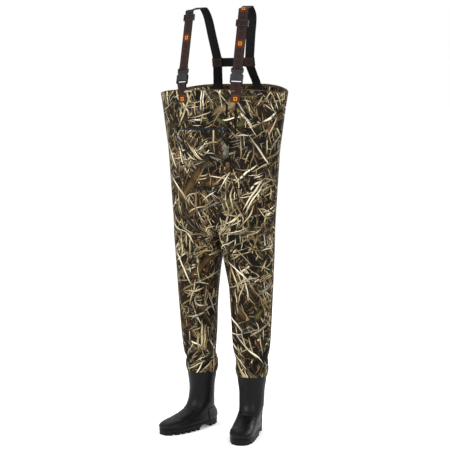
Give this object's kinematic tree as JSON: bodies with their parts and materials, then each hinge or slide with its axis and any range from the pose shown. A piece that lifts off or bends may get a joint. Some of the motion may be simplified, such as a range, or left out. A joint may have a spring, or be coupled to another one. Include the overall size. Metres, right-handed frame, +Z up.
{
  "type": "chest waders",
  "caption": "Camouflage chest waders with rubber boots, a zipped chest pocket and webbing suspenders with side-release buckles.",
  "frame": {"origin": "on the floor, under the middle of the whole object's box", "axes": "+Z up from the soles to the shoulder straps, -Y the way the wearer faces, +X the wearer's left"},
  "size_m": [0.541, 0.3384, 1.7109],
  "materials": {
    "camo_fabric": "matte",
    "lining": "matte",
    "insole": "matte",
    "outsole": "matte",
    "boot_rubber": "satin",
    "label": "satin",
    "buckle_plastic": "satin",
    "zip_metal": "satin",
    "zip_tape": "matte",
    "black_webbing": "matte",
    "brown_webbing": "matte"
  },
  "bodies": {
    "waders": {"back_seam_tape": "lining", "cross_strap": "black_webbing", "front_seam_tape": "lining", "left_back_panel": "camo_fabric", "left_back_strap": "black_webbing", "left_boot_heel_counter": "boot_rubber", "left_boot_insole": "insole", "left_boot_outsole": "outsole", "left_boot_toe_cap": "boot_rubber", "left_boot_upper": "boot_rubber", "left_buckle_socket": "buckle_plastic", "left_front_panel": "camo_fabric", "left_front_strap": "brown_webbing", "left_front_tab": "brown_webbing", "left_inseam_tape": "lining", "left_junction_inner_patch": "brown_webbing", "left_junction_outer_patch": "brown_webbing", "left_lower_back_strap": "black_webbing", "left_shoulder_strap": "brown_webbing", "left_side_seam_tape": "lining", "left_strap_label": "label", "left_tab_label": "label", "pocket_pouch": "camo_fabric", "pocket_zip_tape": "zip_tape", "right_back_panel": "camo_fabric", "right_back_strap": "black_webbing", "right_boot_heel_counter": "boot_rubber", "right_boot_insole": "insole", "right_boot_outsole": "outsole", "right_boot_toe_cap": "boot_rubber", "right_boot_upper": "boot_rubber", "right_buckle_socket": "buckle_plastic", "right_front_panel": "camo_fabric", "right_front_strap": "brown_webbing", "right_front_tab": "brown_webbing", "right_inseam_tape": "lining", "right_junction_inner_patch": "brown_webbing", "right_junction_outer_patch": "brown_webbing", "right_lower_back_strap": "black_webbing", "right_shoulder_strap": "brown_webbing", "right_side_seam_tape": "lining", "right_strap_label": "label", "right_tab_label": "label", "rim_binding": "lining", "rim_facing": "camo_fabric"},
    "right_buckle_tongue": {"right_buckle_tongue": "buckle_plastic"},
    "right_buckle_inner_prong": {"right_buckle_inner_prong": "buckle_plastic"},
    "right_buckle_outer_prong": {"right_buckle_outer_prong": "buckle_plastic"},
    "right_strap_adjuster": {"right_strap_adjuster": "buckle_plastic"},
    "left_buckle_tongue": {"left_buckle_tongue": "buckle_plastic"},
    "left_buckle_inner_prong": {"left_buckle_inner_prong": "buckle_plastic"},
    "left_buckle_outer_prong": {"left_buckle_outer_prong": "buckle_plastic"},
    "left_strap_adjuster": {"left_strap_adjuster": "buckle_plastic"},
    "pocket_zip_slider": {"pocket_zip_slider": "zip_metal"},
    "pocket_zip_pull": {"pocket_zip_pull": "zip_tape"}
  },
  "joints": [
    {"name": "right_buckle_release", "type": "slide", "parent": "waders", "child": "right_buckle_tongue", "axis": [0.0012, 0.2376, 0.9714], "range_m": [0, 0.032], "deforming": ["right_front_strap"]},
    {"name": "right_inner_prong_press", "type": "hinge", "parent": "right_buckle_tongue", "child": "right_buckle_inner_prong", "pos_m": [-0.10239, -0.10207, 1.44847], "axis": [0.1959, 0.9525, -0.2332], "range_deg": [0, 8], "stiffness_Nm_per_rad": 0.3},
    {"name": "right_outer_prong_press", "type": "hinge", "parent": "right_buckle_tongue", "child": "right_buckle_outer_prong", "pos_m": [-0.13279, -0.09616, 1.44707], "axis": [0.1959, 0.9525, -0.2332], "range_deg": [-8, 0], "stiffness_Nm_per_rad": 0.3},
    {"name": "right_strap_adjust", "type": "slide", "parent": "waders", "child": "right_strap_adjuster", "axis": [0.0012, 0.2376, 0.9714], "range_m": [-0.05, 0], "deforming": ["right_front_strap"]},
    {"name": "left_buckle_release", "type": "slide", "parent": "waders", "child": "left_buckle_tongue", "axis": [-0.0012, 0.2376, 0.9714], "range_m": [0, 0.032], "deforming": ["left_front_strap"]},
    {"name": "left_inner_prong_press", "type": "hinge", "parent": "left_buckle_tongue", "child": "left_buckle_inner_prong", "pos_m": [0.10239, -0.10207, 1.44847], "axis": [-0.1959, 0.9525, -0.2332], "range_deg": [-8, 0], "stiffness_Nm_per_rad": 0.3},
    {"name": "left_outer_prong_press", "type": "hinge", "parent": "left_buckle_tongue", "child": "left_buckle_outer_prong", "pos_m": [0.13279, -0.09616, 1.44707], "axis": [-0.1959, 0.9525, -0.2332], "range_deg": [0, 8], "stiffness_Nm_per_rad": 0.3},
    {"name": "left_strap_adjust", "type": "slide", "parent": "waders", "child": "left_strap_adjuster", "axis": [-0.0012, 0.2376, 0.9714], "range_m": [-0.05, 0], "deforming": ["left_front_strap"]},
    {"name": "pocket_zip_travel", "type": "slide", "parent": "waders", "child": "pocket_zip_slider", "axis": [0.9997, -0.025, 0], "range_m": [-0.161, 0]},
    {"name": "pocket_zip_pull_swing", "type": "hinge", "parent": "pocket_zip_slider", "child": "pocket_zip_pull", "pos_m": [0.0701, -0.1323, 1.2319], "axis": [0.9997, -0.025, 0], "range_deg": [-170, 0]}
  ],
  "couplings": [
    {"joint": "right_outer_prong_press", "follows": "right_inner_prong_press", "ratio": -1},
    {"joint": "left_outer_prong_press", "follows": "left_inner_prong_press", "ratio": -1}
  ]
}
